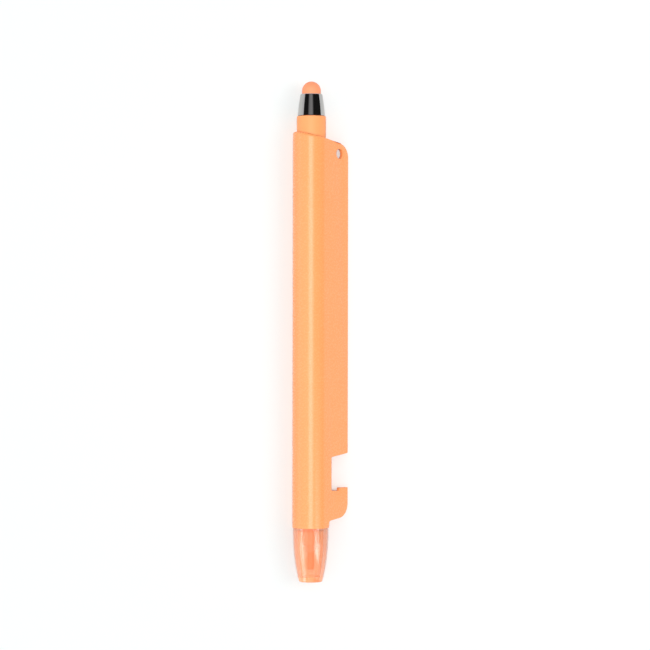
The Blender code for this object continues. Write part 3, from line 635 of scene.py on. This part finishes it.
def make_dome():
    centre = TIP - DOME_RADIUS
    outside = arc((0, centre), DOME_RADIUS, 90, 0, 28)
    outside[0] = (0, TIP)
    flange = ferrule_radius(DOME_FLANGE_TOP) - FERRULE_WALL - FIT_GAP
    base = DOME_FLANGE_TOP - DOME_FLANGE
    hollow = DOME_RADIUS - DOME_WALL
    inside = arc((0, TIP - DOME_WALL - hollow), hollow, 0, 90, 16)
    inside[-1] = (0, TIP - DOME_WALL)
    profile = outside + [(DOME_RADIUS, DOME_FLANGE_TOP), (flange, DOME_FLANGE_TOP), (flange, base)]
    profile.append((hollow, base))
    return finish_piece(turned("dome_silicone", profile + inside), "button", "coral_silicone",
                        moulded_silicone, "touch_tip")


# ---------------------------------------------------------------- studio

def make_stage():
    # matt paper: white, with no gloss of its own
    paper = surface("matt_white_paper", ("#FBFBFB", "#FCFCFC"), (0.9, 0.95), 3.0, 0.001, patch=60.0)
    bpy.ops.object.select_all(action="DESELECT")
    bpy.ops.mesh.primitive_plane_add(size=6.0, location=(0, 0, 0))
    floor = bpy.context.object
    floor.name = "studio_floor"
    floor.data.materials.append(paper)
    return floor


def link_group(name, objects):
    group = bpy.data.collections.new(name)
    for obj in objects:
        group.objects.link(obj)
    return group


def mark_links(group, state):
    """Marks each object in a light's linking collection INCLUDE or EXCLUDE."""
    for item in group.collection_objects:
        item.light_linking.link_state = state


def softbox(name, place, target, size, power, hides=(), only_on=(), through=(), bounces=0):
    """An area light. hides lists what it leaves dark, only_on all that it lights, through what it passes
    through, and bounces says how often its light may bounce on."""
    data = bpy.data.lights.new(name, "AREA")
    data.shape = "RECTANGLE"
    data.size, data.size_y = size
    data.energy = power
    lamp = bpy.data.objects.new(name, data)
    bpy.context.scene.collection.objects.link(lamp)
    lamp.location = place
    data.cycles.max_bounces = bounces
    aim = Vector(target) - Vector(place)
    lamp.rotation_euler = aim.to_track_quat("-Z", "Y").to_euler()
    if hides or only_on:
        lamp.light_linking.receiver_collection = link_group(name + "_receivers", hides or only_on)
        mark_links(lamp.light_linking.receiver_collection, "EXCLUDE" if hides else "INCLUDE")
    if through:
        lamp.light_linking.blocker_collection = link_group(name + "_blockers", through)
        mark_links(lamp.light_linking.blocker_collection, "EXCLUDE")
    return lamp


def make_world():
    """An even white room for diffuse light. Mirrors see a dark ceiling with a grey middle, and pale sides."""
    world = bpy.data.worlds.new("white_studio")
    bpy.context.scene.world = world
    world.use_nodes = True
    tree = world.node_tree
    tree.nodes.clear()
    direction = add_node(tree, "ShaderNodeTexCoord").outputs["Generated"]
    parts = add_node(tree, "ShaderNodeSeparateXYZ", {"Vector": direction})
    lean = add_node(tree, "ShaderNodeMath", {0: parts.outputs["X"], 1: parts.outputs["Z"]},
                    operation="ARCTAN2").outputs["Value"]
    share = add_node(tree, "ShaderNodeMath", {0: lean, 1: 1 / math.tau, 2: 0.5},
                     operation="MULTIPLY_ADD").outputs["Value"]
    ramp = add_node(tree, "ShaderNodeValToRGB", {"Fac": share})
    pale, dark, grey, middle = 0.9, 0.015, 0.26, 0.36
    stops = [(0.0, pale), (0.29, pale), (0.311, dark), (0.42, dark), (0.445, grey), (0.5, middle),
             (0.53, grey), (0.555, dark), (0.755, dark), (0.775, pale)]
    while len(ramp.color_ramp.elements) < len(stops):
        ramp.color_ramp.elements.new(0.5)
    for element, (position, value) in zip(ramp.color_ramp.elements, stops):
        element.position = position
        element.color = (value, value, value * 1.03, 1)  # a trace of blue
    mirror = add_node(tree, "ShaderNodeBackground", {"Color": ramp.outputs["Color"], "Strength": 1.0})
    even = add_node(tree, "ShaderNodeBackground", {"Color": (1, 1, 1, 1), "Strength": ROOM_LIGHT})
    seen = add_node(tree, "ShaderNodeBackground", {"Color": (1, 1, 1, 1), "Strength": 1.0})
    path = add_node(tree, "ShaderNodeLightPath")
    mixed = add_node(tree, "ShaderNodeMixShader", {
        0: path.outputs["Is Glossy Ray"], 1: even.outputs[0], 2: mirror.outputs[0]})
    mixed = add_node(tree, "ShaderNodeMixShader", {
        0: path.outputs["Is Camera Ray"], 1: mixed.outputs[0], 2: seen.outputs[0]})
    add_node(tree, "ShaderNodeOutputWorld", {"Surface": mixed.outputs[0]})


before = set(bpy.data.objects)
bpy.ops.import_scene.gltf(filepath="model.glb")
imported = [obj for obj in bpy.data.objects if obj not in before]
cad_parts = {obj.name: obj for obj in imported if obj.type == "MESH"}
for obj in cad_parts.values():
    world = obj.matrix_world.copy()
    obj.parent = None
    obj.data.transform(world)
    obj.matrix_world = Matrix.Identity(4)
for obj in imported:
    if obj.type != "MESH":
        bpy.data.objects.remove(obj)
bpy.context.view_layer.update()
bpy.ops.object.select_all(action="DESELECT")

make_barrel()
nose_piece = make_nose()
make_nib()
make_holder()
make_spring()
make_button()
ferrule_piece = make_ferrule()
make_dome()

for node_name, finish in (
        ("cam_sleeve", white_acetal), ("plunger", white_acetal), ("touch_core", white_acetal),
        ("rotor", grey_acetal), ("tube_plug", white_polypropylene), ("ink_tube", white_polypropylene),
        ("reservoir_film", clear_film), ("ink_reservoir", inked_fibre)):
    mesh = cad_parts[node_name].data
    mesh.materials.clear()
    mesh.materials.append(finish)

floor_piece = make_stage()
make_world()
axis = Vector((AXIS_X * MM, 0, BARREL_RADIUS * MM))
nose_middle = axis + Vector((0, (MOUTH + SEAM) / 2 * MM, 0))
nose_side = (AXIS_X * MM, -0.06, 0.005)
overhead = (AXIS_X * MM, 0, 0.95)
clear = [nose_piece]
mirror_and_floor = [ferrule_piece, floor_piece]
# the pen's lights pass through the clear nose, and leave the paper and the ferrule's reflections alone
softbox("overhead_strip", overhead, axis, (0.44, 1.2), 7.4, mirror_and_floor + clear, through=clear)
softbox("left_fill", (-0.8, 0.0, 0.6), axis, (0.8, 1.2), 3.2, mirror_and_floor, through=clear)
softbox("low_right_strip", (0.68, -0.26, 0.66), nose_side, (0.2, 0.6), 2.2, mirror_and_floor, through=clear)
# the nose has its own top light, which its gloss doesn't mirror, and a streak down its left
nose_fill = softbox("nose_fill", overhead, axis, (0.40, 1.2), 6.8, only_on=clear, through=clear)
nose_fill.visible_glossy = False
softbox("nose_left_strip", (-0.72, -0.44, 0.40), nose_middle, (0.6, 0.36), 2.6, only_on=clear, through=clear)
# the paper: lit evenly from above, and from the right for a faint shadow at the pen's left
paper_light = {"only_on": [floor_piece], "bounces": PASSING_BOUNCES}
floor_top = softbox("floor_top", (0, 0, 1.5), axis, (0.12, 0.12), 12.3, **paper_light)
floor_top.data.color = (0.92, 1, 1)  # cool, against the warm light that the pen throws on the paper
softbox("floor_right", (0.9, 0.1, 1.1), axis, (0.6, 0.6), 2.3, **paper_light)

camera_data = bpy.data.cameras.new("overhead_camera")
camera_data.lens = 132.9
camera_data.sensor_width = 36.0
camera_data.clip_start = 0.01
camera = bpy.data.objects.new("overhead_camera", camera_data)
bpy.context.scene.collection.objects.link(camera)
camera.location = (0.00134, 0.0019, 0.7013)
camera.rotation_euler = (0, 0, math.radians(0.095))
bpy.context.scene.camera = camera
bpy.context.scene.view_settings.view_transform = "Standard"
